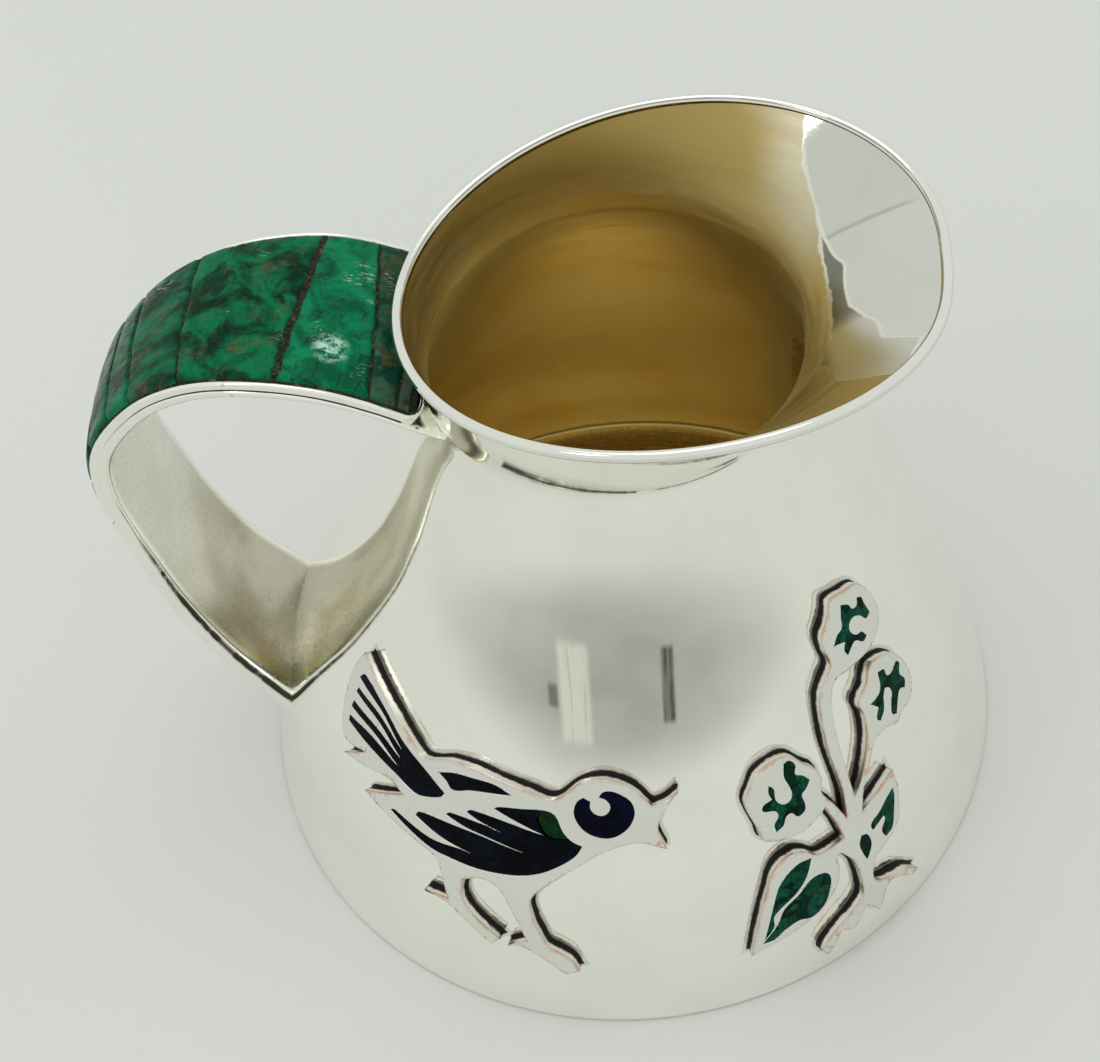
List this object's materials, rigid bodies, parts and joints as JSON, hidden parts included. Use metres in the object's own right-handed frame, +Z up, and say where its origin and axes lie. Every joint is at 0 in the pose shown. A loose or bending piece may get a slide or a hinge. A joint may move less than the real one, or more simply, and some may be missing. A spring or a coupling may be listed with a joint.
{
  "type": "cream jug",
  "caption": "Silver cream jug with a wide pouring lip, a gilt inside, a stone-set strap handle and raised inlaid bird and flower plaques.",
  "frame": {"origin": "centre of the round base, on the table", "axes": "+Z up; +X towards the pouring lip, -X towards the handle; the plaques are on the -Y side"},
  "size_m": [0.1227, 0.11, 0.0972],
  "materials": {
    "silver": "polished silver, lightly used",
    "silver_base": "satin silver",
    "cement": "matt dark bedding",
    "green_stone": "polished, veined green stone",
    "green_inlay": "polished dark green stone chips",
    "black_inlay": "polished blue-black stone"
  },
  "bodies": {
    "root": {"body_shell": "silver", "base_plate": "silver_base", "rim_wire": "silver", "handle_strap": "silver", "handle_rail_front": "silver", "handle_rail_rear": "silver", "channel_corner_front": "silver", "channel_corner_rear": "silver", "stone_bedding": "cement", "handle_stone_1": "green_stone", "handle_stone_2": "green_stone", "handle_stone_3": "green_stone", "handle_stone_4": "green_stone", "handle_stone_5": "green_stone", "handle_stone_6": "green_stone", "handle_stone_7": "green_stone", "handle_stone_8": "green_stone", "handle_stone_9": "green_stone", "bird_plaque": "silver", "bird_tail_inlay": "black_inlay", "bird_back_inlay": "black_inlay", "bird_wing_inlay": "black_inlay", "bird_wing_stone": "green_inlay", "bird_eye_inlay": "black_inlay", "flower_plaque": "silver", "top_blossom_inlay": "green_inlay", "right_blossom_inlay": "green_inlay", "left_blossom_inlay": "green_inlay", "leaf_upper_inlay": "green_inlay", "leaf_lower_inlay": "green_inlay", "forked_leaf_inlay": "green_inlay", "stem_drop_inlay": "green_inlay"}
  },
  "joints": []
}
